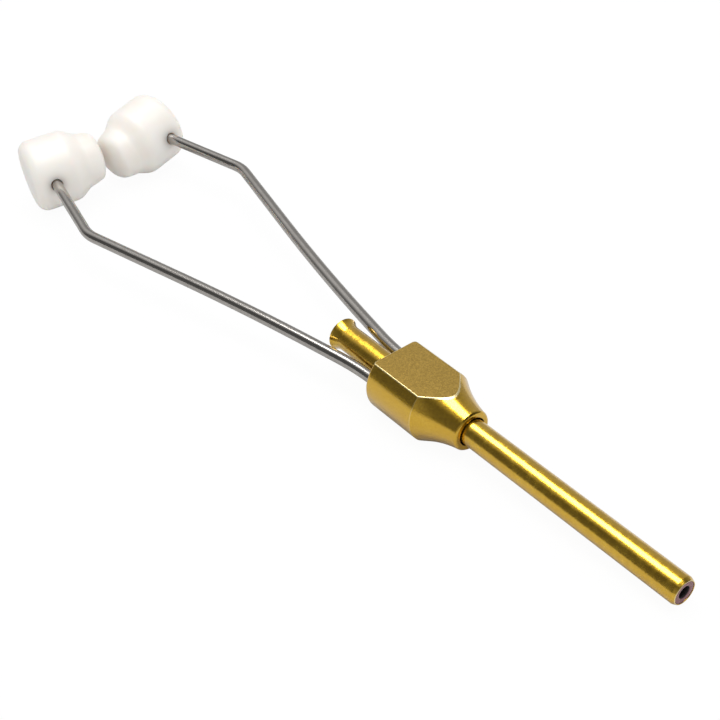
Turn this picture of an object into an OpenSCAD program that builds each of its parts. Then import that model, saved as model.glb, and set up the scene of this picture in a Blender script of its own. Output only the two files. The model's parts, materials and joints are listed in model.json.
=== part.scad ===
// Bobbin holder for fly tying: a flared brass tube with a ceramic tip, a brass body with two flats,
// and two sprung wire legs that end in stepped plastic feet. The feet close on a spool of thread.
// Millimetres. The origin is the mouth of the tube's tip, +X is the way the thread leaves,
// +Y is the far leg's side, and +Z is square to the body's flats.

/* [Tube] */
// Outside diameter of the tube
tube_d = 3.2; // [2.4:0.1:3.6]
// Thickness of the tube's wall
tube_wall = 0.45; // [0.35:0.05:0.5]
// Length of tube that shows in front of the body
tube_front = 29.9; // [15:0.1:60]
// Length of tube that stands out behind the body, flare included
tube_back = 9.7; // [5:0.1:9.9]
// Outside diameter of the flare's mouth
flare_d = 4.1; // [3.7:0.1:4.3]
// Length of the flare along the tube
flare_len = 1.4; // [0.8:0.1:2.5]
// Length over which the tip is rolled in
tip_roll_len = 0.55; // [0.3:0.05:1]
// How far the tip is rolled in
tip_roll_in = 0.2; // [0.1:0.02:0.24]

/* [Ceramic tip] */
// Diameter of the hole that the thread leaves by
thread_hole = 1.3; // [0.8:0.05:1.5]
// Length of the ceramic insert
insert_len = 5; // [3:0.5:10]
// Thickness of the tube's wall round the insert
seat_wall = 0.29; // [0.25:0.01:0.34]
// Radius of the polished lip at each end of the thread hole
lip_r = 0.22; // [0.05:0.01:0.25]
// How far the insert's face lies inside the tube's end
insert_recess = 0.05; // [0:0.01:0.2]

/* [Body] */
// Diameter of the round bar that the body is turned from
bar_d = 8.76; // [8:0.02:10]
// Distance between the upper and lower flats
flats = 6.4; // [5.6:0.1:7.4]
// Length of the body
body_len = 13.1; // [12:0.1:18]
// Length of the hollow cone at the front of the body
cone_len = 5.4; // [4:0.1:7]
// How far the cone's side is hollowed out below a straight line
cone_hollow = 0.26; // [0.1:0.02:0.5]
// Diameter of the body's nose
nose_d = 4.96; // [4.4:0.02:5.6]
// Radius round the body's rear edge
rear_edge = 0.4; // [0.1:0.05:0.6]
// Length of the straight rim at the nose
nose_rim = 0.3; // [0.3:0.1:0.8]
// Radius round the nose's edge
nose_edge = 0.25; // [0.05:0.05:0.25]
// Width of the dark ring that shows between the nose and the tube
nose_gap = 0.13; // [0.05:0.01:0.2]
// Depth of that ring
nose_gap_deep = 0.6; // [0.2:0.1:1.5]
// Metal between the tube's bore and each leg's bore
web = 0.14; // [0.1:0.01:0.2]
// Depth of each leg's bore in the body
bore_deep = 8; // [5:0.5:9]

/* [Legs] */
// Diameter of the spring wire
wire_d = 1.45; // [1.2:0.05:1.5]
// Distance of the first bend behind the body
root_back = 3.2; // [2:0.1:4]
// Distance behind the body of the point that a flexed leg turns about
flex_back = 9; // [8:0.1:12]
// Distance of the middle of the bow behind the body
bow_back = 21.1; // [18:0.1:26]
// Distance of the middle of the bow from the tube's axis
bow_out = 5.7; // [5:0.1:6.2]
// Distance of the knee behind the body
knee_back = 48.5; // [42:0.5:52]
// Distance of the knee from the tube's axis
knee_out = 12.3; // [11.5:0.1:14]
// Bend radius of the knee
knee_r = 5.8; // [4:0.2:9]
// Distance of the feet behind the body
foot_back = 67.2; // [62:0.2:75]
// How far the wire's surface draws in where it is bent
bend_thin = 0.01; // [0.005:0.005:0.02]
// Length by which a straight stretch runs on over the start of a bend
lap = 0.05; // [0.02:0.01:0.1]
// Angle that each leg flexes outwards, in degrees
leg_swing = 15; // [5:1:18]

/* [Feet] */
// Diameter of a foot's barrel
barrel_d = 10.16; // [8.5:0.02:11.5]
// Diameter of the barrel where its outer end begins to round off
outer_d = 10.2; // [8:0.02:11]
// Distance from the wire to the foot's flat outer end
outer_len = 2.95; // [2.4:0.05:5]
// Radius round the outer end
outer_edge = 1.5; // [0.4:0.1:1.8]
// Distance from the wire to the inner end of the barrel
barrel_len = 2.7; // [1.4:0.05:3]
// Length of the soft step from the barrel to the nose
step_len = 3; // [1:0.05:3.4]
// Distance that the nose reaches from the wire towards the other foot
nose_reach = 8.05; // [7.6:0.05:9]
// Diameter of the nose where its end begins to round off
tip_d = 7; // [6:0.1:7.4]
// Radius round the nose's end
tip_edge = 0.8; // [0.4:0.1:1.8]
// Slope of the nose's side, in degrees
nose_taper = 16; // [8:1:20]
// Height of the wire's hole above the middle of the foot
hole_rise = 0.6; // [0:0.05:0.7]
// How far the near foot is turned nose down on its wire, in degrees
near_turn = -4; // [-15:1:15]
// How far the far foot is turned nose down on its wire, in degrees
far_turn = 8; // [-15:1:15]
// Gap between the two feet when the legs are closed
feet_gap = 0.4; // [0.3:0.05:1]
// Length of wire beyond the middle of the foot
wire_past = 2; // [1:0.1:3]

/* [Fits] */
// Radial clearance round the wire in the body and in the feet
wire_clear = 0.02; // [0.01:0.005:0.04]
// Radial clearance round the tube in the body
tube_clear = 0.015; // [0.01:0.005:0.04]
// Radial clearance round the ceramic insert
insert_clear = 0.01; // [0.01:0.005:0.03]
// Clearance between the ball and the cup at each leg's flex point
flex_clear = 0.02; // [0.01:0.005:0.04]
// Room left beyond the end of a wire in its blind hole
end_room = 0.3; // [0.1:0.1:1]

/* [Hidden] */
$fn = 96;
// How far a cut runs past the face that it opens
over = 1;
// Facets drawn round a whole ring of wire
bend_steps = 720;
// Points along each curve of a foot's nose
step_count = 8;

// Places along the tube, all behind the tip
nose_x = -tube_front;
rear_x = nose_x - body_len;
tube_end = rear_x - tube_back;
flare_x = tube_end + flare_len;

tube_r = tube_d / 2;
tube_bore_r = tube_r - tube_wall;
flare_rise = (flare_d - tube_d) / 2;
flare_r = arc_radius(flare_len, flare_rise);
tip_roll_r = arc_radius(tip_roll_len, tip_roll_in);
seat_r = tube_r - seat_wall;
insert_r = seat_r - insert_clear;

bar_r = bar_d / 2;
// Ends of the cone's outline, as radius and place, and the hollow arc that joins them
cone_rear = [bar_r, nose_x - cone_len];
cone_front = [nose_d / 2, nose_x - nose_rim];
cone_chord = cone_front - cone_rear;
cone_r = arc_radius(norm(cone_chord) / 2, cone_hollow);
cone_centre = (cone_rear + cone_front) / 2
    + (cone_r - cone_hollow) / norm(cone_chord) * [cone_chord[1], -cone_chord[0]];

// Corners of the far leg's centreline, seen from above
wire_r = wire_d / 2;
bend_wire_r = wire_r - bend_thin;
leg_y = tube_r + tube_clear + web + wire_clear + wire_r;
foot_y = nose_reach + feet_gap / 2;
root = [rear_x - root_back, leg_y];
bow = [rear_x - bow_back, bow_out];
knee = [rear_x - knee_back, knee_out];
foot = [rear_x - foot_back, foot_y];

// How far the wire turns at each corner
root_turn = spread(root, bow);
bow_turn = spread(bow, knee) - root_turn;
knee_turn = spread(bow, knee) - spread(knee, foot);

// The first bend starts at the body's rear face, and the bow just past the flex point
flex = root + (flex_back - root_back) / (bow_back - root_back) * (bow - root);
root_bend_r = root_back / tan(root_turn / 2);
bow_reach = norm(bow - flex) - wire_r;
bow_r = bow_reach / tan(bow_turn / 2);
knee_reach = knee_r * tan(knee_turn / 2);

tip_mid_r = tip_d / 2 - tip_edge;
tip_mid_y = sqrt(pow(nose_reach - tip_edge, 2) - tip_mid_r * tip_mid_r);
taper_end = [tip_mid_r + tip_edge * cos(nose_taper), tip_mid_y + tip_edge * sin(nose_taper)];
crown_turn = atan2(tip_mid_y, tip_mid_r);
nose_base_y = barrel_len + step_len;
nose_base_r = taper_end[0] + (taper_end[1] - nose_base_y) * tan(nose_taper);

// Radius of an arc that starts along a straight line and leaves it by drop over length
function arc_radius(length, drop) = (length * length + drop * drop) / (2 * drop);

// Points along a circle of radius r about p, past its start at angle from and up to angle to
function arc_points(p, r, from, to) =
    [for (i = [1 : step_count])
        let (turn = from + (to - from) * i / step_count)
        p + r * [cos(turn), sin(turn)]];

// Angle by which the line back from a to b leaves the tube's direction
function spread(a, b) = atan2(b[1] - a[1], a[0] - b[0]);

// Turns a half outline about the X axis: x is the radius and y the place along X
module turned() {
    rotate([0, 90, 0]) rotate_extrude() children();
}

// The waste outside a rounded corner at p, where sx and sy, each 1 or -1, point out of the metal
module corner_waste(p, r, sx, sy) {
    difference() {
        translate([p[0] - (sx > 0 ? r : over), p[1] - (sy > 0 ? r : over)]) square(r + over);
        translate([p[0] - sx * r, p[1] - sy * r]) circle(r);
    }
}

// A round hole along X, from x onwards
module bore_x(x, y, r, deep) {
    translate([x, y, 0]) rotate([0, 90, 0]) cylinder(h = deep, r = r);
}

// Wire that starts at the origin along +X. Each step is [straight length, bend radius, turn],
// where a turn to the left is positive, and a step with no turn ends the wire
module wire(steps, i = 0) {
    length = steps[i][0];
    bend_r = steps[i][1];
    turn = steps[i][2];
    centre_y = sign(turn) * bend_r;
    lap_before = i > 0 ? lap : 0;
    lap_after = turn != 0 ? lap : 0;
    translate([-lap_before, 0, 0]) rotate([0, 90, 0])
        cylinder(h = lap_before + length + lap_after, r = wire_r);
    if (turn != 0) translate([length, centre_y, 0]) {
        rotate([0, 0, turn > 0 ? -90 : 90 + turn])
            rotate_extrude(angle = abs(turn), $fn = bend_steps)
            translate([bend_r, 0])
            circle(bend_wire_r);
        rotate([0, 0, turn]) translate([0, -centre_y, 0]) wire(steps, i + 1);
    }
}

// Wire of the far leg from the bottom of its bore to the flex point, where a cup takes the leg's ball
module leg_root_shape() {
    difference() {
        translate([rear_x + bore_deep - end_room, leg_y, 0]) rotate([0, 0, 180])
            wire([
                [bore_deep - end_room, root_bend_r, -root_turn],
                [norm(flex - root) - root_back, 0, 0]
            ]);
        translate([flex[0], flex[1], 0]) sphere(wire_r / cos(leg_swing / 2) + flex_clear);
    }
}

// Wire of the far leg from the flex point to its end inside the foot
module leg_shape() {
    translate([flex[0], flex[1], 0]) rotate([0, 0, 180 - root_turn]) {
        sphere(bend_wire_r);
        wire([
            [wire_r, bow_r, -bow_turn],
            [norm(knee - bow) - bow_reach - knee_reach, knee_r, knee_turn],
            [norm(foot - knee) - knee_reach + wire_past, 0, 0]
        ]);
    }
}

// A foot about the middle of its wire: the wire comes in along +X and the nose points along -Y
module foot_shape() {
    difference() {
        translate([0, 0, -hole_rise])
            rotate([90, 0, 0])
            rotate_extrude()
            foot_outline();
        bore_x(-wire_past - end_room, 0, wire_r + wire_clear, barrel_d + wire_past);
    }
}

// Half of the foot's outline: x is the radius and y runs from the outer end to the nose
module foot_outline() {
    barrel_r = barrel_d / 2;
    outer_r = outer_d / 2;
    step = [for (i = [0 : step_count])
        let (share = i / step_count)
        [nose_base_r + (barrel_r - nose_base_r) * (1 + cos(180 * share)) / 2,
         barrel_len + step_len * share]];
    difference() {
        polygon(concat(
            [[0, -outer_len], [outer_r, -outer_len], [outer_r, outer_edge - outer_len]],
            step,
            [taper_end],
            arc_points([tip_mid_r, tip_mid_y], tip_edge, nose_taper, crown_turn),
            arc_points([0, 0], nose_reach, crown_turn, 90)
        ));
        corner_waste([outer_r, -outer_len], outer_edge, 1, -1);
    }
}

module placed_foot(turn) {
    translate([foot[0], foot[1], 0])
        rotate([0, 0, -spread(knee, foot)])
        rotate([turn, 0, 0])
        foot_shape();
}

module body() {
    color("darkgoldenrod")
    difference() {
        intersection() {
            turned() difference() {
                translate([0, rear_x]) square([bar_r, body_len]);
                intersection() {
                    translate(cone_centre) circle(cone_r);
                    translate([0, rear_x]) square([bar_r, body_len - nose_rim]);
                }
                translate([nose_d / 2, nose_x - nose_rim]) square([bar_r, nose_rim + over]);
                corner_waste([bar_r, rear_x], rear_edge, 1, -1);
                corner_waste([nose_d / 2, nose_x], nose_edge, 1, 1);
            }
            translate([rear_x - over, -bar_d, -flats / 2])
                cube([body_len + 2 * over, 2 * bar_d, flats]);
        }
        bore_x(rear_x - over, 0, tube_r + tube_clear, body_len + 2 * over);
        bore_x(nose_x - nose_gap_deep, 0, tube_r + nose_gap, nose_gap_deep + over);
        for (side = [-1, 1])
            bore_x(rear_x - over, side * leg_y, wire_r + wire_clear, bore_deep + over);
    }
}

module tube() {
    color("goldenrod")
    turned() {
        difference() {
            translate([tube_bore_r, flare_x]) square([tube_wall, -flare_x]);
            translate([0, -insert_recess - insert_len]) square([seat_r, insert_len + over]);
            translate([tube_r - tip_roll_r, -tip_roll_len]) difference() {
                square(tip_roll_r + over);
                circle(tip_roll_r);
            }
        }
        intersection() {
            translate([tube_bore_r, tube_end]) square([flare_d, flare_len]);
            translate([tube_r + flare_r, flare_x]) difference() {
                circle(flare_r + tube_wall);
                circle(flare_r);
            }
            translate([0, tube_end]) square([tube_r + flare_r, flare_len]);
        }
    }
}

module tip_insert() {
    color("rosybrown")
    turned() difference() {
        translate([thread_hole / 2, -insert_recess - insert_len])
            square([insert_r - thread_hole / 2, insert_len]);
        corner_waste([thread_hole / 2, -insert_recess], lip_r, -1, 1);
        corner_waste([thread_hole / 2, -insert_recess - insert_len], lip_r, -1, -1);
    }
}

module near_leg_root() {
    color("silver") mirror([0, 1, 0]) leg_root_shape();
}

module far_leg_root() {
    color("silver") leg_root_shape();
}

module near_leg() {
    color("silver") mirror([0, 1, 0]) leg_shape();
}

module far_leg() {
    color("silver") leg_shape();
}

module near_foot() {
    color("white") mirror([0, 1, 0]) placed_foot(near_turn);
}

module far_foot() {
    color("white") placed_foot(far_turn);
}

body();
tube();
tip_insert();
near_leg_root();
far_leg_root();
near_leg();
far_leg();
near_foot();
far_foot();
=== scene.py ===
"""Looks of a bobbin holder for fly tying: a flared brass tube with a ceramic tip, a brass body with
two flats, and two sprung steel wires that end in stepped white plastic feet.

Lengths are written in millimetres and meshes are built in millimetres, then scaled to metres. The
origin is the tip's mouth, +X is the thread's way out, +Y the far leg, +Z square to the flats.
"""

import json
from math import acos, asin, atan2, cos, hypot, pi, radians, sin, sqrt, tan

import bmesh
import bpy
import numpy as np
from mathutils import Euler, Matrix, Vector


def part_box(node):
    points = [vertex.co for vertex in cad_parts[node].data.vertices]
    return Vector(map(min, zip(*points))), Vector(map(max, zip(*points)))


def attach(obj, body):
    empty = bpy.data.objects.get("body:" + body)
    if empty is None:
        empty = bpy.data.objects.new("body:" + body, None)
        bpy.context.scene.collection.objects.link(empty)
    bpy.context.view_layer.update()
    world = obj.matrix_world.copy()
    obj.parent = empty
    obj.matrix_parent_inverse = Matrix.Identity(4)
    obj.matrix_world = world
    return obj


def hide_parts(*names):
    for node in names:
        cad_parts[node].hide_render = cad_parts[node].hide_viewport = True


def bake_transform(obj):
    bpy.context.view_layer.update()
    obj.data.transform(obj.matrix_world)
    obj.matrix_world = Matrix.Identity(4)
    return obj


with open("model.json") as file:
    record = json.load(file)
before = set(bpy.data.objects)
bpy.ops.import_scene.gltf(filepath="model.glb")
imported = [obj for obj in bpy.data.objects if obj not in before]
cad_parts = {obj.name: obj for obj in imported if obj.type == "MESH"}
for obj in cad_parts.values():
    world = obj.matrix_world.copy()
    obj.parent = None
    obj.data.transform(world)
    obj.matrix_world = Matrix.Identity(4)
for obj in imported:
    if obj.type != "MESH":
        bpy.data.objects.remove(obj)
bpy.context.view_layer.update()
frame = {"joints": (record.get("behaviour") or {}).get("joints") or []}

MM = 0.001
SIDES = {"far": 1, "near": -1}

# Edges that bend by more than SHARP stay sharp. Vertices within MERGE become one, and those of the
# body's four quarters within SAME_PLACE. A point within SKIN of a surface counts as on it
SHARP = radians(40)
FLAT_WEIGHT = 80
MERGE = 1e-5
SAME_PLACE = 1e-4
SKIN = 0.01


def box_mm(node):
    low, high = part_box(node)
    return low / MM, high / MM


def joint_mm(name):
    joint = next(j for j in frame["joints"] if j["name"] == name)
    return Vector(joint["pos_m"]) / MM, Vector(joint["axis"])


# Places and sizes that the frame gives
body_low, body_high = box_mm("body")
tube_low, tube_high = box_mm("tube")
insert_low, insert_high = box_mm("tip_insert")
REAR_X = body_low.x
NOSE_X = body_high.x
BAR_R = body_high.y
FLAT_Z = body_high.z
TUBE_END = tube_low.x
FLARE_R = tube_high.y
FLEX = joint_mm("far_leg_flex")[0]
FOOT, FOOT_AXIS = joint_mm("far_foot_swivel")

# Tube. A row of points EDGE_RUN before an edge, here and on the body, keeps its shading narrow
TUBE_R = 1.6
TUBE_WALL = 0.45
FLARE_LEN = 1.4
FLARE_TRIM = 0.02
ROLL_LEN = 0.45
ROLL_IN = 0.2
ROLL_CREASE_R = 0.3
ROLL_EDGE = 0.04
SEAT_R = 1.31
SEAT_DEPTH = 5.05
EDGE_RUN = 0.05
TIP_BAND = 0.02
FLARE_BAND = 0.08
TUBE_SIDES = 160

# Ceramic tip
THREAD_R = 0.65
LIP_R = 0.22
INSERT_EDGE = 0.04
DARK_OVER = 0.06
LIP_BAND = 0.02
INSERT_SIDES = 128

# Body
FILLET = 0.1
FILLET_STEPS = 6
REAR_EDGE = 0.4
CONE_LEN = 5.4
CONE_HOLLOW = 0.26
CONE_CORNER = 0.12
NOSE_R = 2.48
NOSE_RIM = 0.4
NOSE_EDGE = 0.4
NOSE_GAP = 0.17
NOSE_GAP_EDGE = 0.03
NOSE_GAP_DEEP = 0.9
RIDGE_HALF = 0.045
RIDGE_DEEP = 0.04
RIDGE_SHARE = 0.35
FLAT_END = 3
TUBE_CLEAR = 0.015
WIRE_CLEAR = 0.02
BORE_DEEP = 8
BORE_CHAMFER = 0.05
BORE_SIDES = 48

# Legs, as the far one: corners of the centreline are counted back from the body's rear face
WIRE_R = 0.725
LEG_Y = 2.5
ROOT_BACK = 3.2
BOW_BACK, BOW_OUT = 21.1, 5.7
KNEE_BACK, KNEE_OUT = 48.5, 12.3
KNEE_R = 5.8
WIRE_PAST = 2
WIRE_STEP = 0.8
WIRE_SIDES = 48
END_ROUND = 0.12
END_ROOM = 0.3

# Feet
BARREL_R = 5.08
OUTER_R = 5.1
OUTER_LEN = 2.95
OUTER_EDGE = 1.5
BARREL_LEN = 2.7
STEP_LEN = 3
NOSE_REACH = 8.05
TIP_R = 3.5
TIP_EDGE = 1
NOSE_TAPER = radians(16)
HOLE_RISE = 0.6
HOLE_MOUTH_R = 0.84
HOLE_MOUTH_DEEP = 0.3
HOLE_MOUTH_TAPER = 0.15
HOLE_SIDES = 64
CUTTER_PAST = 2
HOLE_SHADE_R = 1.1
FOOT_SIDES = 200
FOOT_SOFTEN = 0.2
SOFTEN_STEP = 0.06
FOOT_TURN = {"far": radians(8), "near": radians(-4)}

# Colours, linear
BRASS = (0.80, 0.51, 0.045, 1)
BRASS_DEEP = (0.66, 0.39, 0.025, 1)
# Pale brass on edges and rims: worn brass with a painted highlight
BRASS_WEAR_AND_HIGHLIGHT = (0.95, 0.80, 0.42, 1)
BRASS_MILLED = (0.68, 0.435, 0.08, 1)
BRASS_MILLED_DEEP = (0.47, 0.29, 0.04, 1)
# Near-black brass paints the shade in the groove at the nose
BRASS_GROOVE_SHADE = (0.10, 0.02, 0.01, 1)
CERAMIC = (0.25, 0.10, 0.115, 1)
CERAMIC_DEEP = (0.17, 0.055, 0.065, 1)
CERAMIC_HOLE_SHADE = (0.012, 0.006, 0.006, 1)
STEEL = (0.46, 0.44, 0.415, 1)
STEEL_DEEP = (0.39, 0.365, 0.34, 1)
PLASTIC = (0.91, 0.88, 0.835, 1)
PLASTIC_DEEP = (0.88, 0.84, 0.785, 1)
PLASTIC_HOLE_SHADE = (0.5, 0.42, 0.35, 1)
LACQUER = {"Coat_Weight": 0.8, "Coat_Roughness": 0.1}

# Spans of a noise over which a tone or a roughness goes from its low to its high value
WIDE = (0.3, 0.7)
TIGHT = (0.35, 0.65)

# Camera
CAMERA_AT = Vector((0.0525502, -0.0750455, 0.1011103))
CAMERA_TURN = [radians(a) for a in (50.7986, 2.45077, 51.69066)]
CAMERA_LENS = 69.603
SENSOR = 36
CLIP_START = 0.01

# The room that metal sees. Each part has a level, and a span of a direction's share over which it
# comes in: away from the camera for the walls, -Y, up, or towards the glow
AWAY = radians(143)
ROOM_DARK, ROOM_PALE, ROOM_SPAN = 0.04, 0.44, (0.1, 0.75)
ROOM_FRONT, FRONT_SPAN = 0.3, (-0.68, -0.95)
ROOM_NEAR, NEAR_SPAN = 0.1, (-0.3, -0.9)
CEILING, CEILING_SPAN = 0.3, (0.78, 0.97)
GLOW, GLOW_SPAN = 0.45, (0.86, 0.99)
GLOW_AT = Vector((-0.66, -0.08, 0.747))

# The light that other surfaces get from the world, and the lamps. The shine is in metal only
AMBIENT = 0.61
AMBIENT_TILT = Vector((0.05, 0, 0.3))
SOFTBOX_WIDE = 0.27
SOFTBOX_LONG = 0.62
SOFTBOX_LEVEL = 2
SOFTBOX_AT = Vector((-0.08, 0.037, 0.5))
SHINE_LONG = 0.51
SHINE_LEVEL = 8
SHINE_AT = SOFTBOX_AT + Vector((-0.055, 0, -0.01))

# Floor
FLOOR_COLOUR = 0.75
FLOOR_IN_METAL = 0.67
FLOOR_GLOW = 0.95
FLOOR_SHADE = 0.05
FLOOR_HALF = 3
FLOOR_DROP = 0.00005


# Mesh building

def arc(centre, radius, start, end, steps):
    """Points on a circle, from angle start to angle end, both included."""
    angles = np.linspace(start, end, steps + 1)
    return [(centre[0] + radius * cos(a), centre[1] + radius * sin(a)) for a in angles]


def arc_radius(length, drop):
    """Radius of an arc that starts along a straight line and leaves it by drop over length. Half a
    chord and the height of its arc have the same relation."""
    return (length * length + drop * drop) / (2 * drop)


def ring(bm, x, radius, sides):
    """A ring of vertices round X, or one vertex on X."""
    if radius < MERGE:
        return [bm.verts.new((x, 0, 0))]
    angles = np.arange(sides) * 2 * pi / sides
    return [bm.verts.new((x, radius * cos(a), radius * sin(a))) for a in angles]


def join_rings(bm, first, second, closed=True):
    """Faces between two rows of vertices; a row of one vertex is a pole."""
    count = max(len(first), len(second))
    for i in range(count if closed else count - 1):
        j = (i + 1) % count
        corners = [first[i % len(first)], first[j % len(first)],
                   second[j % len(second)], second[i % len(second)]]
        corners = list(dict.fromkeys(corners))
        if len(corners) > 2:
            bm.faces.new(corners)


def turned(bm, profile, sides, closed=True):
    """The surface that (x, radius) points sweep about X."""
    rings = [ring(bm, x, r, sides) for x, r in profile]
    for first, second in zip(rings, rings[1:]):
        join_rings(bm, first, second)
    if closed:
        join_rings(bm, rings[-1], rings[0])


def as_object(bm, name, matrix=None):
    """Makes a smooth-shaded object in metres from a mesh in millimetres."""
    bmesh.ops.remove_doubles(bm, verts=bm.verts, dist=MERGE)
    bmesh.ops.transform(bm, verts=bm.verts, matrix=Matrix.Scale(MM, 4) @ (matrix or Matrix()))
    bmesh.ops.recalc_face_normals(bm, faces=bm.faces)
    mesh = bpy.data.meshes.new(name)
    bm.to_mesh(mesh)
    bm.free()
    smooth(mesh)
    piece = bpy.data.objects.new(name, mesh)
    bpy.context.scene.collection.objects.link(piece)
    return piece


def smooth(mesh):
    """Smooth shading, but for edges that bend sharply."""
    mesh.polygons.foreach_set("use_smooth", [True] * len(mesh.polygons))
    mesh.set_sharp_from_angle(angle=SHARP)


def even_normals(piece):
    """Large flat faces keep their own normal beside small rounded ones."""
    weighted = piece.modifiers.new("even_normals", "WEIGHTED_NORMAL")
    weighted.keep_sharp = True
    weighted.weight = FLAT_WEIGHT


def point_values(piece, name, values):
    """Keeps a number for each vertex, which a material reads by its name."""
    layer = piece.data.attributes.new(name, "FLOAT", "POINT")
    layer.data.foreach_set("value", np.asarray(values, np.float32))


def points_mm(piece):
    return np.array([v.co for v in piece.data.vertices]) / MM


# Body

def body_profile():
    """Outline of the turned body from its rear edge to the bore, as rows of place, radius and the
    normal's two parts, and the row at which the flats end."""
    cone_front = np.array((NOSE_X - NOSE_RIM, NOSE_R))
    cone_rear = np.array((NOSE_X - CONE_LEN, BAR_R))
    chord = cone_front - cone_rear
    chord_len = np.linalg.norm(chord)
    cone_r = arc_radius(chord_len / 2, CONE_HOLLOW)
    outward = np.array((-chord[1], chord[0])) / chord_len
    cone_centre = (cone_front + cone_rear) / 2 + (cone_r - CONE_HOLLOW) * outward
    nose_angle = asin((cone_centre[0] - cone_front[0]) / cone_r)
    rear_centre = (REAR_X + REAR_EDGE, BAR_R - REAR_EDGE)
    corner_y = BAR_R - CONE_CORNER
    corner_angle = acos((cone_centre[1] - corner_y) / (cone_r + CONE_CORNER))
    corner_x = cone_centre[0] - (cone_r + CONE_CORNER) * sin(corner_angle)
    cut_r = FLAT_Z - FILLET
    rows = []

    def add_round(centre, radius, start, end, steps):
        for a in np.linspace(start, end, steps + 1):
            nx, nr = cos(a), sin(a)
            rows.append((centre[0] + radius * nx, centre[1] + radius * nr, nx, nr))

    def add_cone(angles):
        for a in angles:
            rows.append((cone_centre[0] - cone_r * sin(a), cone_centre[1] - cone_r * cos(a),
                         sin(a), cos(a)))

    add_round(rear_centre, REAR_EDGE, pi, pi / 2, 10)
    bar = list(np.linspace(rear_centre[0], corner_x - EDGE_RUN, 8)[1:])
    rows.extend((x, BAR_R, 0, 1) for x in bar)
    add_round((corner_x, corner_y), CONE_CORNER, pi / 2, pi / 2 - corner_angle, 6)

    # Along the cut part of the cone the flat narrows down to its apex, by steps that grow
    offset_r = cone_r + FILLET
    first_r = cone_centre[1] - offset_r * cos(corner_angle)
    first_half = sqrt(first_r ** 2 - cut_r ** 2)
    halves = first_half * (1 - np.linspace(0, 1, 45)[1:] ** 1.2)
    add_cone(acos((cone_centre[1] - hypot(half, cut_r)) / offset_r) for half in halves)
    apex = len(rows) - 1
    add_cone(np.linspace(acos((cone_centre[1] - cut_r) / offset_r), nose_angle, 25)[1:])
    add_round((NOSE_X - NOSE_EDGE, NOSE_R - NOSE_EDGE), NOSE_EDGE, pi / 2, 0, 10)

    gap_r, bore_r = TUBE_R + NOSE_GAP, TUBE_R + TUBE_CLEAR
    gap_edge = (NOSE_X - NOSE_GAP_EDGE, gap_r + NOSE_GAP_EDGE)
    add_round(gap_edge, NOSE_GAP_EDGE, 0, -pi / 2, 4)
    rows.append((NOSE_X - NOSE_GAP_DEEP, gap_r, 0, -1))
    rows.append((NOSE_X - NOSE_GAP_DEEP, bore_r, 1, 0))
    rows.append((REAR_X, bore_r, 0, -1))
    return rows, apex


def quarter_points(row, cut_r, arc_shares, flat_shares, cut):
    """The points of one row on its side arc, on the fillet and on the flat, from the middle of the
    +Y side up to the middle of the upper flat. A row past the flats has the arc only."""
    x, r, nx, nr = row
    offset_x, offset_r = x - FILLET * nx, r - FILLET * nr
    angle = asin(min(1, cut_r / offset_r)) if cut else pi / 2
    half = sqrt(max(0, offset_r ** 2 - cut_r ** 2)) if cut else 0
    side = [(x, r * cos(angle * s), r * sin(angle * s)) for s in arc_shares]
    if not cut:
        return side, [], []
    outward = Vector((nx, nr * cos(angle), nr * sin(angle)))
    fillet = []
    for i in range(1, FILLET_STEPS + 1):
        turn = outward.slerp(Vector((0, 0, 1)), i / FILLET_STEPS)
        fillet.append(tuple(Vector((offset_x, half, cut_r)) + FILLET * turn))
    flat = [(offset_x, half * (1 - s), FLAT_Z) for s in flat_shares]
    return side, fillet, flat


def make_body():
    rows, apex = body_profile()
    cut_r = FLAT_Z - FILLET
    # Shares of the way across the side and across the flat, closer together beside the fillet
    arc_shares = np.concatenate([np.linspace(0, 0.96, 34), [0.985, 1]])
    flat_shares = np.concatenate([[0.04], np.linspace(0.1, 1, 14)])
    bm = bmesh.new()

    def add_quarter(y_sign, z_sign):
        previous = None
        for k, row in enumerate(rows):
            cut = k <= apex
            side, fillet, flat = quarter_points(row, cut_r, arc_shares, flat_shares, cut)
            points = side + fillet + flat
            verts = [bm.verts.new((x, y * y_sign, z * z_sign)) for x, y, z in points]
            if previous is not None:
                shared = min(len(previous), len(verts))
                join_rings(bm, previous[:shared], verts[:shared], closed=False)
            else:
                add_rear_round(verts[len(side) - 1:], y_sign, z_sign)
            previous = verts

    def add_rear_round(first, y_sign, z_sign):
        """The straight round between the rear face and a flat, from the body's edge inwards."""
        half = abs(first[0].co.y)
        last = first[:FILLET_STEPS + 1]
        for share in flat_shares:
            y = half * (1 - share) * y_sign
            line = []
            for a in pi / 2 * np.arange(FILLET_STEPS + 1) / FILLET_STEPS:
                z = (cut_r + FILLET * sin(a)) * z_sign
                line.append(bm.verts.new((REAR_X + FILLET * (1 - cos(a)), y, z)))
            join_rings(bm, last, line, closed=False)
            last = line

    for y_sign in (1, -1):
        for z_sign in (1, -1):
            add_quarter(y_sign, z_sign)

    for side in SIDES.values():
        add_wire_hole(bm, side)
    bmesh.ops.remove_doubles(bm, verts=bm.verts, dist=SAME_PLACE)
    fill_rear_face(bm)
    piece = as_object(bm, "turned_body")
    even_normals(piece)
    points = points_mm(piece)
    point_values(piece, "edge", edge_wear_and_highlight_values(points))
    point_values(piece, "milled", milled_values(points))
    point_values(piece, "groove", groove_shade_values(points))
    return piece


def fill_rear_face(bm):
    """Closes the rear face between the body's edge and its three bores."""
    open_edges = [e for e in bm.edges if e.is_boundary]
    rear = [e for e in open_edges if all(abs(v.co.x - REAR_X) < SAME_PLACE for v in e.verts)]
    bmesh.ops.triangle_fill(bm, use_beauty=True, edges=rear)


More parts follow.
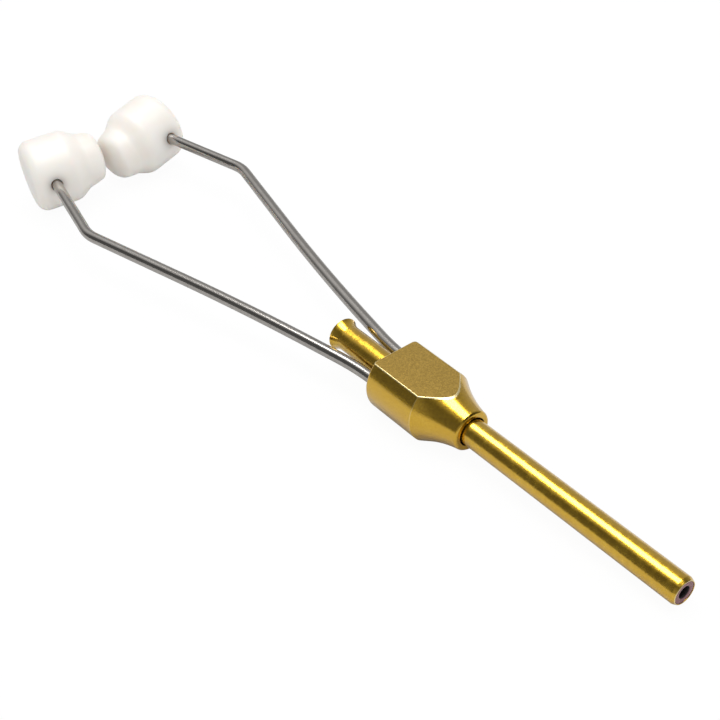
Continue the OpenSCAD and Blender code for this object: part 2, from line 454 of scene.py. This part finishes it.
def add_wire_hole(bm, side):
    """A blind bore in the rear face for one wire, with a small chamfer at its mouth."""
    hole_r = WIRE_R + WIRE_CLEAR
    profile = [(REAR_X, hole_r + BORE_CHAMFER), (REAR_X + BORE_CHAMFER, hole_r),
               (REAR_X + BORE_DEEP, hole_r), (REAR_X + BORE_DEEP, 0)]
    first = len(bm.verts)
    turned(bm, profile, BORE_SIDES, closed=False)
    bm.verts.ensure_lookup_table()
    for v in bm.verts[first:]:
        v.co.y += side * LEG_Y


def edge_wear_and_highlight_values(points):
    """1 on the rounded edges of the flats, less on the ridge between the bar and the cone, where pale
    brass paints wear and a highlight.
    """
    radius = np.hypot(points[:, 1], points[:, 2])
    height = np.abs(points[:, 2])
    on_round = (height > FLAT_Z - FILLET + SKIN / 5) & (height < FLAT_Z - SKIN / 10)
    near_ridge = np.abs(points[:, 0] - (NOSE_X - CONE_LEN)) < RIDGE_HALF
    on_ridge = near_ridge & (radius > BAR_R - RIDGE_DEEP)
    return np.where(on_round, 1, np.where(on_ridge, RIDGE_SHARE, 0))


def milled_values(points):
    """1 on the flats."""
    return (np.abs(points[:, 2]) > FLAT_Z - SKIN).astype(float)


def groove_shade_values(points):
    """1 in the narrow groove round the tube at the nose, which is painted in dark shade."""
    radius = np.hypot(points[:, 1], points[:, 2])
    at_depth = points[:, 0] > NOSE_X - NOSE_GAP_DEEP - SKIN
    return (at_depth & (radius < TUBE_R + NOSE_GAP + SKIN)).astype(float)


# Tube and ceramic tip

def make_tube():
    """The tube as one closed outline that is turned: outside, rolled tip, seat, bore and flare."""
    bore_r = TUBE_R - TUBE_WALL
    flare_r = arc_radius(FLARE_LEN, FLARE_R - TUBE_R)
    flare_x = TUBE_END + FLARE_LEN
    flare_centre = (flare_x, TUBE_R + flare_r)
    roll_turn = atan2(ROLL_IN, ROLL_LEN)
    crease_reach = ROLL_CREASE_R * tan(roll_turn / 2)
    crease_x = -ROLL_LEN - crease_reach
    outer_end = -pi / 2 - asin(FLARE_LEN / flare_r)
    inner_r = flare_r + TUBE_WALL
    inner_end = -pi / 2 - asin(FLARE_LEN / inner_r)
    outer = arc(flare_centre, flare_r, outer_end + FLARE_TRIM, -pi / 2, 24)
    crease = arc((crease_x, TUBE_R - ROLL_CREASE_R), ROLL_CREASE_R, pi / 2, pi / 2 - roll_turn, 6)
    rim = arc((-ROLL_EDGE, TUBE_R - ROLL_IN - ROLL_EDGE / 2), ROLL_EDGE, pi / 2 - roll_turn, 0, 4)
    before_rim = [(rim[0][0] - EDGE_RUN, rim[0][1] + EDGE_RUN * ROLL_IN / ROLL_LEN)]
    barrel = [(x, TUBE_R) for x in np.linspace(flare_x, crease_x, 40)[1:-1]]
    mouth = arc((-ROLL_EDGE, SEAT_R + ROLL_EDGE), ROLL_EDGE, 0, -pi / 2, 4)
    seat = [(-SEAT_DEPTH, SEAT_R), (-SEAT_DEPTH, bore_r)]
    inner = arc(flare_centre, inner_r, -pi / 2, inner_end + FLARE_TRIM, 24)
    profile = outer + barrel + crease + before_rim + rim + mouth + seat + inner
    bm = bmesh.new()
    turned(bm, profile, TUBE_SIDES)
    piece = as_object(bm, "drawn_tube")
    even_normals(piece)
    points = points_mm(piece)
    radius = np.hypot(points[:, 1], points[:, 2])
    # The rims at the tip and the flare are marked for pale brass: wear and a painted highlight
    at_tip = (points[:, 0] > -ROLL_EDGE - TIP_BAND) & (radius > SEAT_R + ROLL_EDGE)
    at_flare = (points[:, 0] < TUBE_END + FLARE_BAND) & (radius > TUBE_R)
    point_values(piece, "edge", at_tip | at_flare)
    return piece


def make_insert():
    """The ceramic sleeve, with round lips at both ends of its hole."""
    front, back, outer = insert_high.x, insert_low.x, insert_high.y
    profile = arc((front - LIP_R, THREAD_R + LIP_R), LIP_R, -pi / 2, 0, 10)
    profile += arc((front - INSERT_EDGE, outer - INSERT_EDGE), INSERT_EDGE, 0, pi / 2, 4)
    profile += arc((back + INSERT_EDGE, outer - INSERT_EDGE), INSERT_EDGE, pi / 2, pi, 4)
    profile += arc((back + LIP_R, THREAD_R + LIP_R), LIP_R, pi, 3 * pi / 2, 10)
    profile += [(x, THREAD_R) for x in np.linspace(back, front, 40)[4:-4]]
    bm = bmesh.new()
    turned(bm, profile, INSERT_SIDES)
    piece = as_object(bm, "ceramic_tip")
    even_normals(piece)
    points = points_mm(piece)
    radius = np.hypot(points[:, 1], points[:, 2])
    # Painted shade inside the hole, growing over DARK_OVER in from the front mouth
    bore_shade = np.clip((front - SKIN - points[:, 0]) / DARK_OVER, 0, 1)
    point_values(piece, "bore_shade", np.where(radius < outer - INSERT_EDGE - LIP_BAND, bore_shade, 0))
    return piece


# Wires

def rounded_path(corners, reaches, step):
    """Points and directions along straight lines between corners, with an arc at each inner
    corner that starts its reach before the corner."""
    corners = [np.array(c, float) for c in corners]
    points, ways = [], []

    def add(point, way):
        points.append(point)
        ways.append(way / np.linalg.norm(way))

    at = corners[0]
    for i in range(1, len(corners)):
        way = corners[i] - corners[i - 1]
        way /= np.linalg.norm(way)
        reach = reaches[i - 1] if i < len(corners) - 1 else 0
        end = corners[i] - way * reach
        for s in np.linspace(0, 1, max(2, int(np.linalg.norm(end - at) / step) + 1))[:-1]:
            add(at + (end - at) * s, way)
        if i == len(corners) - 1:
            add(end, way)
            break
        after = corners[i + 1] - corners[i]
        after /= np.linalg.norm(after)
        turn = atan2(way[0] * after[1] - way[1] * after[0], way @ after)
        bend_r = reach / tan(abs(turn) / 2)
        side = np.array([-way[1], way[0]]) * np.sign(turn)
        centre = end + side * bend_r
        steps = max(6, int(abs(turn) * bend_r / (step / 2)))
        for s in np.arange(steps) / steps:
            a = turn * s
            spoke = -side * bend_r
            turned_spoke = np.array([spoke[0] * cos(a) - spoke[1] * sin(a),
                                     spoke[0] * sin(a) + spoke[1] * cos(a)])
            turned_way = np.array([way[0] * cos(a) - way[1] * sin(a),
                                   way[0] * sin(a) + way[1] * cos(a)])
            add(centre + turned_spoke, turned_way)
        at = corners[i] + after * reach
    return points, ways


def make_wire(side_name):
    """One leg's wire, swept along its centreline, with its place along and round the wire kept for
    the material."""
    side = SIDES[side_name]
    root = np.array((REAR_X - ROOT_BACK, LEG_Y))
    bow = np.array((REAR_X - BOW_BACK, BOW_OUT))
    knee = np.array((REAR_X - KNEE_BACK, KNEE_OUT))
    foot = np.array((FOOT.x, FOOT.y))
    last_way = (foot - knee) / np.linalg.norm(foot - knee)
    flex = np.array((FLEX.x, FLEX.y))
    way_in = knee - bow
    knee_turn = abs(atan2(way_in[0] * last_way[1] - way_in[1] * last_way[0], way_in @ last_way))
    reaches = [ROOT_BACK, np.linalg.norm(bow - flex) - WIRE_R, KNEE_R * tan(knee_turn / 2)]
    start = (REAR_X + BORE_DEEP - END_ROOM, LEG_Y)
    corners = [start, root, bow, knee, foot + last_way * WIRE_PAST]
    points, ways = rounded_path(corners, reaches, WIRE_STEP)

    bm = bmesh.new()
    layer = bm.verts.layers.float_vector.new("sweep")
    rings, along = [], 0
    sections = [(points[0], ways[0], WIRE_R - END_ROUND)]
    sections += [(points[0] + ways[0] * END_ROUND, ways[0], WIRE_R)]
    sections += [(p, w, WIRE_R) for p, w in zip(points[1:-1], ways[1:-1])]
    sections += [(points[-1] - ways[-1] * END_ROUND, ways[-1], WIRE_R)]
    sections += [(points[-1], ways[-1], WIRE_R - END_ROUND)]
    previous = sections[0][0]
    for point, way, radius in sections:
        along += float(np.linalg.norm(point - previous))
        previous = point
        row = []
        for i in range(WIRE_SIDES):
            a = 2 * pi * i / WIRE_SIDES
            out, up = radius * cos(a), radius * sin(a)
            v = bm.verts.new((point[0] - way[1] * out, (point[1] + way[0] * out) * side, up))
            v[layer] = (along, out, up)
            row.append(v)
        rings.append(row)
    for first, second in zip(rings, rings[1:]):
        join_rings(bm, first, second)
    for row in (rings[0], rings[-1]):
        bm.faces.new(row)
    return as_object(bm, side_name + "_wire")


# Feet

def foot_profile():
    """Outline of a foot along its own axis, from the outer end to the nose, (place, radius)."""
    tip_mid_r = TIP_R - TIP_EDGE
    tip_mid_y = sqrt((NOSE_REACH - TIP_EDGE) ** 2 - tip_mid_r ** 2)
    taper_end = (tip_mid_y + TIP_EDGE * sin(NOSE_TAPER), tip_mid_r + TIP_EDGE * cos(NOSE_TAPER))
    base_y = BARREL_LEN + STEP_LEN
    base_r = taper_end[1] + (taper_end[0] - base_y) * tan(NOSE_TAPER)
    crown = atan2(tip_mid_r, tip_mid_y)
    profile = [(-OUTER_LEN, 0), (-OUTER_LEN, OUTER_R - OUTER_EDGE)]
    profile += arc((OUTER_EDGE - OUTER_LEN, OUTER_R - OUTER_EDGE), OUTER_EDGE, pi, pi / 2, 12)[1:]
    for share in np.linspace(0, 1, 13):
        profile.append((BARREL_LEN + STEP_LEN * share,
                        base_r + (BARREL_R - base_r) * (1 + cos(pi * share)) / 2))
    profile += arc((tip_mid_y, tip_mid_r), TIP_EDGE, pi / 2 - NOSE_TAPER, crown, 12)
    profile += arc((0, 0), NOSE_REACH, crown, 0, 6)[1:]
    return softened(profile, FOOT_SOFTEN)


def softened(profile, reach):
    """The same outline with its corners eased over reach, in even steps. The ends are mirrored
    across the axis first, so that both stay on it and are met squarely."""
    points = np.array(profile, float)
    mirrored = points * (1, -1)
    whole = np.concatenate([mirrored[1:4][::-1], points, mirrored[-4:-1][::-1]])
    run = np.concatenate([[0], np.cumsum(np.hypot(*np.diff(whole, axis=0).T))])
    at = np.arange(0, run[-1], SOFTEN_STEP)
    half_taps = int(3 * reach / SOFTEN_STEP)
    taps = np.arange(-half_taps, half_taps + 1) * SOFTEN_STEP
    weights = np.exp(-(taps / reach) ** 2 / 2)
    weights /= weights.sum()
    x, r = (np.convolve(np.pad(np.interp(at, run, row), half_taps, mode="edge"), weights, mode="valid")
            for row in whole.T)
    off_axis = r > SOFTEN_STEP / 3
    x, r = x[off_axis][::2], r[off_axis][::2]
    return [(x[0], 0)] + list(zip(x, r)) + [(x[-1], 0)]


def hole_cutter(name):
    """The wire's blind hole with a slightly wider mouth, along X from the middle of the foot."""
    hole_r = WIRE_R + WIRE_CLEAR
    surface = sqrt(BARREL_R ** 2 - HOLE_RISE ** 2)
    mouth = surface - HOLE_MOUTH_DEEP
    end, outside = -WIRE_PAST - END_ROOM, surface + CUTTER_PAST
    profile = [(end, 0), (end, hole_r), (mouth - HOLE_MOUTH_TAPER, hole_r),
               (mouth, HOLE_MOUTH_R), (outside, HOLE_MOUTH_R), (outside, 0)]
    bm = bmesh.new()
    turned(bm, profile, HOLE_SIDES, closed=False)
    return as_object(bm, name)


def make_foot(side_name):
    """One foot: turned, bored for its wire, then set on the wire's end at its own angle."""
    side = SIDES[side_name]
    bm = bmesh.new()
    turned(bm, foot_profile(), FOOT_SIDES, closed=False)
    to_wire = Matrix.Translation((0, 0, -HOLE_RISE)) @ Matrix.Rotation(-pi / 2, 4, "Z")
    piece = as_object(bm, side_name + "_plug", to_wire)
    cutter = hole_cutter(side_name + "_cutter")
    cut = piece.modifiers.new("wire_hole", "BOOLEAN")
    cut.object = cutter
    cut.operation = "DIFFERENCE"
    cut.solver = "EXACT"
    final = evaluated_mesh(piece)
    piece.modifiers.clear()
    piece.data = final
    bpy.data.objects.remove(cutter)

    # Painted shade round the wire's hole, on the side where the wire goes in
    local = points_mm(piece)
    from_hole = np.hypot(local[:, 1], local[:, 2])
    fade = np.exp(-((from_hole / HOLE_SHADE_R) ** 2))
    point_values(piece, "hole_shade", np.where(local[:, 0] > 0, fade, 0))
    turn = Matrix.Rotation(FOOT_TURN[side_name], 4, "X")
    heading = Matrix.Rotation(atan2(FOOT_AXIS.y, FOOT_AXIS.x), 4, "Z")
    place = Matrix.Translation(Vector((FOOT.x, FOOT.y, 0)) * MM) @ heading @ turn
    if side < 0:
        place = Matrix.Diagonal((1, -1, 1, 1)) @ place
    final.transform(place)
    if side < 0:
        final.flip_normals()
    smooth(final)
    even_normals(piece)
    return piece


def evaluated_mesh(piece):
    """A copy of the mesh with the piece's modifiers applied."""
    bpy.context.view_layer.update()
    graph = bpy.context.evaluated_depsgraph_get()
    return bpy.data.meshes.new_from_object(piece.evaluated_get(graph), depsgraph=graph)


# Materials

def add(tree, kind, inputs=None, **settings):
    """A node with its settings, and its inputs set or linked by name."""
    node = tree.nodes.new(kind)
    for key, value in settings.items():
        setattr(node, key, value)
    for key, value in (inputs or {}).items():
        if isinstance(value, bpy.types.NodeSocket):
            tree.links.new(value, node.inputs[key])
        else:
            node.inputs[key].default_value = value
    return node


def new_material(name):
    """An empty material with one shader on its output."""
    material = bpy.data.materials.new(name)
    material.use_nodes = True
    tree = material.node_tree
    tree.nodes.clear()
    shader = add(tree, "ShaderNodeBsdfPrincipled")
    output = add(tree, "ShaderNodeOutputMaterial")
    tree.links.new(shader.outputs["BSDF"], output.inputs["Surface"])
    return material, tree, shader


def coordinates(tree, scale=(1, 1, 1), layer=None):
    """Object coordinates in metres, or the mesh's own from a named layer, stretched by scale."""
    if layer:
        source = add(tree, "ShaderNodeAttribute", attribute_name=layer).outputs["Vector"]
    else:
        source = add(tree, "ShaderNodeTexCoord").outputs["Object"]
    return add(tree, "ShaderNodeMapping", {"Vector": source, "Scale": scale}).outputs["Vector"]


def noise(tree, vector, scale, detail=3, roughness=0.55):
    node = add(tree, "ShaderNodeTexNoise",
               {"Vector": vector, "Scale": scale, "Detail": detail, "Roughness": roughness})
    return node.outputs["Fac"]


def ramp(tree, value, span, to_low, to_high):
    """Goes from to_low to to_high as the value goes over the span, and stays level outside it."""
    node = add(tree, "ShaderNodeMapRange", {"Value": value, "From Min": span[0], "From Max": span[1],
                                            "To Min": to_low, "To Max": to_high})
    return node.outputs["Result"]


def blend_value(tree, share, at_none, at_all):
    """A value that a share from 0 to 1 carries from the first number to the second."""
    return ramp(tree, share, (0, 1), at_none, at_all)


def dot(tree, first, second):
    node = add(tree, "ShaderNodeVectorMath", {0: first, 1: second}, operation="DOT_PRODUCT")
    return node.outputs["Value"]


def math_node(tree, operation, first, second):
    return add(tree, "ShaderNodeMath", {0: first, 1: second}, operation=operation).outputs[0]


def mix_colour(tree, factor, first, second):
    """Mixes two colours; sockets 6 and 7 are the colour inputs of a Mix node."""
    node = add(tree, "ShaderNodeMix", {0: factor, 6: first, 7: second}, data_type="RGBA")
    return node.outputs[2]


def attribute(tree, name):
    return add(tree, "ShaderNodeAttribute", attribute_name=name).outputs["Fac"]


def bump(tree, height, depth_mm, normal=None):
    """A relief in the shading, on top of another one where a normal is given."""
    inputs = {"Height": height, "Strength": 1, "Distance": depth_mm * MM}
    if normal:
        inputs["Normal"] = normal
    return add(tree, "ShaderNodeBump", inputs).outputs["Normal"]


def plug(tree, shader, **sockets):
    """Sets or links inputs of the shader; an underscore in a name stands for a space."""
    for key, value in sockets.items():
        socket = shader.inputs[key.replace("_", " ")]
        if isinstance(value, bpy.types.NodeSocket):
            tree.links.new(value, socket)
        else:
            socket.default_value = value


def body_brass():
    """Lacquered satin brass: grainy with lathe lines where turned, smoother and duller on the flats."""
    material, tree, shader = new_material("satin_brass")
    grain = noise(tree, coordinates(tree), 5200, 4, 0.6)
    lines = noise(tree, coordinates(tree, (9000, 300, 300)), 1, 2)
    cloud = noise(tree, coordinates(tree), 260, 3)
    milled = attribute(tree, "milled")
    edge = attribute(tree, "edge")
    fleck = ramp(tree, grain, TIGHT, 0, 1)
    patch = math_node(tree, "MULTIPLY", ramp(tree, cloud, WIDE, 0.5, 1), fleck)
    turned_tone = mix_colour(tree, patch, BRASS_DEEP, BRASS)
    milled_tone = mix_colour(tree, fleck, BRASS_MILLED_DEEP, BRASS_MILLED)
    tone = mix_colour(tree, milled, turned_tone, milled_tone)
    # Edges in pale brass: wear and a painted highlight
    tone = mix_colour(tree, edge, tone, BRASS_WEAR_AND_HIGHLIGHT)
    # Painted shade in the groove at the nose
    tone = mix_colour(tree, attribute(tree, "groove"), tone, BRASS_GROOVE_SHADE)
    satin = blend_value(tree, milled, 0.21, 0.24)
    satin = math_node(tree, "ADD", satin, blend_value(tree, edge, 0, 0.12))
    spread = math_node(tree, "MULTIPLY", ramp(tree, grain, WIDE, -0.04, 0.06),
                       blend_value(tree, milled, 1, 0.15))
    rough = math_node(tree, "ADD", satin, spread)
    relief = math_node(tree, "MULTIPLY", grain, blend_value(tree, milled, 1, 0.1))
    turned_lines = math_node(tree, "MULTIPLY", lines, blend_value(tree, milled, 1, 0))
    surface = bump(tree, relief, 0.008)
    surface = bump(tree, turned_lines, 0.0012, surface)
    plug(tree, shader, Base_Color=tone, Metallic=1, Roughness=rough, Normal=surface, **LACQUER)
    return material


def tube_brass():
    """Lacquered drawn brass with fine lines along the tube and small spots."""
    material, tree, shader = new_material("drawn_brass")
    lines = noise(tree, coordinates(tree, (120, 5000, 5000)), 1, 3)
    spots = noise(tree, coordinates(tree), 1500, 4, 0.6)
    cloud = noise(tree, coordinates(tree), 330, 3)
    patch = math_node(tree, "MULTIPLY", ramp(tree, cloud, WIDE, 0.5, 1), ramp(tree, spots, TIGHT, 0.2, 1))
    wear_and_highlight = math_node(tree, "MULTIPLY", attribute(tree, "edge"), 0.8)
    tone = mix_colour(tree, patch, BRASS_DEEP, BRASS)
    # Pale brass on the rims: wear and a painted highlight
    tone = mix_colour(tree, wear_and_highlight, tone, BRASS_WEAR_AND_HIGHLIGHT)
    rough = math_node(tree, "ADD", ramp(tree, lines, WIDE, 0.19, 0.24),
                      ramp(tree, spots, (0.45, 0.75), 0, 0.08))
    surface = bump(tree, spots, 0.016)
    surface = bump(tree, lines, 0.002, surface)
    plug(tree, shader, Base_Color=tone, Metallic=1, Roughness=rough, Normal=surface, **LACQUER)
    return material


def ceramic():
    """Glazed dark ceramic, with painted shade that makes it nearly black inside its hole."""
    material, tree, shader = new_material("glazed_ceramic")
    speck = noise(tree, coordinates(tree), 3500, 4)
    tone = mix_colour(tree, ramp(tree, speck, TIGHT, 0, 1), CERAMIC_DEEP, CERAMIC)
    bore_shade = attribute(tree, "bore_shade")
    # Painted shade inside the hole
    tone = mix_colour(tree, bore_shade, tone, CERAMIC_HOLE_SHADE)
    rough = math_node(tree, "ADD", ramp(tree, speck, WIDE, 0.14, 0.22), blend_value(tree, bore_shade, 0, 0.5))
    plug(tree, shader, Base_Color=tone, Roughness=rough, Normal=bump(tree, speck, 0.002))
    return material


def spring_steel():
    """Bright wire with faint lines along its length."""
    material, tree, shader = new_material("spring_steel")
    lines = noise(tree, coordinates(tree, (0.12, 7, 7), "sweep"), 1, 3)
    mottle = noise(tree, coordinates(tree, (1, 2, 2), "sweep"), 0.8, 4, 0.6)
    tone = mix_colour(tree, ramp(tree, mottle, WIDE, 0, 1), STEEL_DEEP, STEEL)
    rough = ramp(tree, lines, WIDE, 0.155, 0.175)
    surface = bump(tree, lines, 0.0002)
    plug(tree, shader, Base_Color=tone, Metallic=1, Roughness=rough, Normal=surface)
    return material


def white_plastic():
    """Off-white satin plastic, a little translucent, with painted shade round the wire's hole."""
    material, tree, shader = new_material("white_plastic")
    cloud = noise(tree, coordinates(tree), 180, 3)
    grain = noise(tree, coordinates(tree), 2600, 3)
    tone = mix_colour(tree, ramp(tree, cloud, WIDE, 0, 1), PLASTIC_DEEP, PLASTIC)
    # Painted shade round the wire's hole
    tone = mix_colour(tree, attribute(tree, "hole_shade"), tone, PLASTIC_HOLE_SHADE)
    rough = ramp(tree, grain, WIDE, 0.38, 0.5)
    surface = bump(tree, grain, 0.004)
    plug(tree, shader, Base_Color=tone, Roughness=rough, Normal=surface, Subsurface_Weight=0.7,
         Subsurface_Radius=(1.0, 0.75, 0.6), Subsurface_Scale=0.002)
    return material


# Stage

def seen_directly(tree, path):
    """1 for rays straight from the camera, also through something clear."""
    return math_node(tree, "MAXIMUM", path["Is Camera Ray"], path["Is Transmission Ray"])


def make_world():
    """White to the camera, a room of soft parts to metal, and a nearly even light to the rest."""
    world = bpy.data.worlds.new("studio")
    bpy.context.scene.world = world
    world.use_nodes = True
    tree = world.node_tree
    tree.nodes.clear()
    way = add(tree, "ShaderNodeTexCoord").outputs["Generated"]
    away = dot(tree, way, (cos(AWAY), sin(AWAY), 0))
    parts = add(tree, "ShaderNodeSeparateXYZ", {0: way}).outputs
    room = ramp(tree, away, ROOM_SPAN, ROOM_DARK, ROOM_PALE)
    for share, span, part_level in ((away, FRONT_SPAN, ROOM_FRONT), (parts["Y"], NEAR_SPAN, ROOM_NEAR),
                                    (parts["Z"], CEILING_SPAN, CEILING),
                                    (dot(tree, way, GLOW_AT), GLOW_SPAN, GLOW)):
        room = math_node(tree, "ADD", room, ramp(tree, share, span, 0, part_level))
    path = add(tree, "ShaderNodeLightPath").outputs
    even = math_node(tree, "ADD", dot(tree, way, AMBIENT_TILT), AMBIENT)
    level = mix_colour(tree, path["Is Glossy Ray"], even, room)
    level = mix_colour(tree, seen_directly(tree, path), level, (1, 1, 1, 1))
    background = add(tree, "ShaderNodeBackground", {"Color": level, "Strength": 1})
    output = add(tree, "ShaderNodeOutputWorld")
    tree.links.new(background.outputs[0], output.inputs["Surface"])


def make_softbox(name, place, level, length, in_metal):
    """A large lamp above, for the highlights in metal alone or for everything but them."""
    data = bpy.data.lights.new(name, "AREA")
    data.shape = "RECTANGLE"
    data.size = length
    data.size_y = SOFTBOX_WIDE
    data.energy = level * pi * length * SOFTBOX_WIDE
    lamp = bpy.data.objects.new(name, data)
    lamp.location = place
    lamp.visible_camera = False
    lamp.visible_glossy = in_metal
    lamp.visible_diffuse = not in_metal
    bpy.context.scene.collection.objects.link(lamp)


def make_floor():
    """A sheet under the feet and the front of the lower flat, so it leans a little in this frame.
    It is white to the camera but for a faint shadow."""
    foot_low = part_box("far_foot")[0]
    body_front = Vector((NOSE_X - FLAT_END, 0, -FLAT_Z)) * MM
    slope = (body_front.z - foot_low.z) / (body_front.x - FOOT.x * MM)
    bm = bmesh.new()
    bmesh.ops.create_grid(bm, x_segments=2, y_segments=2, size=FLOOR_HALF)
    for v in bm.verts:
        v.co.z = body_front.z + slope * (v.co.x - body_front.x) - FLOOR_DROP
    mesh = bpy.data.meshes.new("floor")
    bm.to_mesh(mesh)
    bm.free()
    floor = bpy.data.objects.new("floor", mesh)
    bpy.context.scene.collection.objects.link(floor)
    mesh.materials.append(pale_floor())


def pale_floor():
    material = bpy.data.materials.new("pale_floor")
    material.use_nodes = True
    tree = material.node_tree
    tree.nodes.clear()
    path = add(tree, "ShaderNodeLightPath").outputs
    colour = mix_colour(tree, path["Is Glossy Ray"], grey(FLOOR_COLOUR), grey(FLOOR_IN_METAL))
    matt = add(tree, "ShaderNodeBsdfDiffuse", {"Color": colour}).outputs[0]
    shade = add(tree, "ShaderNodeBsdfDiffuse", {"Color": grey(FLOOR_SHADE)}).outputs[0]
    glow = add(tree, "ShaderNodeEmission", {"Strength": FLOOR_GLOW}).outputs[0]
    white = add(tree, "ShaderNodeAddShader", {0: shade, 1: glow}).outputs[0]
    seen = seen_directly(tree, path)
    mixed = add(tree, "ShaderNodeMixShader", {0: seen, 1: matt, 2: white}).outputs[0]
    output = add(tree, "ShaderNodeOutputMaterial")
    tree.links.new(mixed, output.inputs["Surface"])
    return material


def grey(level):
    return (level, level, level, 1)


def make_camera():
    data = bpy.data.cameras.new("camera")
    data.lens = CAMERA_LENS
    data.sensor_width = SENSOR
    data.clip_start = CLIP_START
    camera = bpy.data.objects.new("camera", data)
    camera.location = CAMERA_AT
    camera.rotation_euler = Euler(CAMERA_TURN)
    bpy.context.scene.collection.objects.link(camera)
    bpy.context.scene.camera = camera


# Assembly

def finish_piece(piece, material, body, nodes):
    """Gives a piece its material, hides the imported parts it stands in for and, when a body is given,
    hangs it on that body.
    """
    piece.data.materials.clear()
    piece.data.materials.append(material)
    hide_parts(*nodes)
    if body:
        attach(piece, body)


make_camera()
make_world()
make_softbox("softbox", SOFTBOX_AT, SOFTBOX_LEVEL, SOFTBOX_LONG, False)
make_softbox("softbox_shine", SHINE_AT, SHINE_LEVEL, SHINE_LONG, True)
make_floor()

finish_piece(make_body(), body_brass(), "frame", ["body"])
finish_piece(make_tube(), tube_brass(), "frame", ["tube"])
finish_piece(make_insert(), ceramic(), "frame", ["tip_insert"])
steel, plastic = spring_steel(), white_plastic()
for side_name in SIDES:
    leg = side_name + "_leg"
    wire = make_wire(side_name)
    finish_piece(wire, steel, None, [leg + "_root", leg])
    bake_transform(wire)
    foot = side_name + "_foot"
    finish_piece(make_foot(side_name), plastic, foot, [foot])

bpy.context.scene.view_settings.view_transform = "Standard"
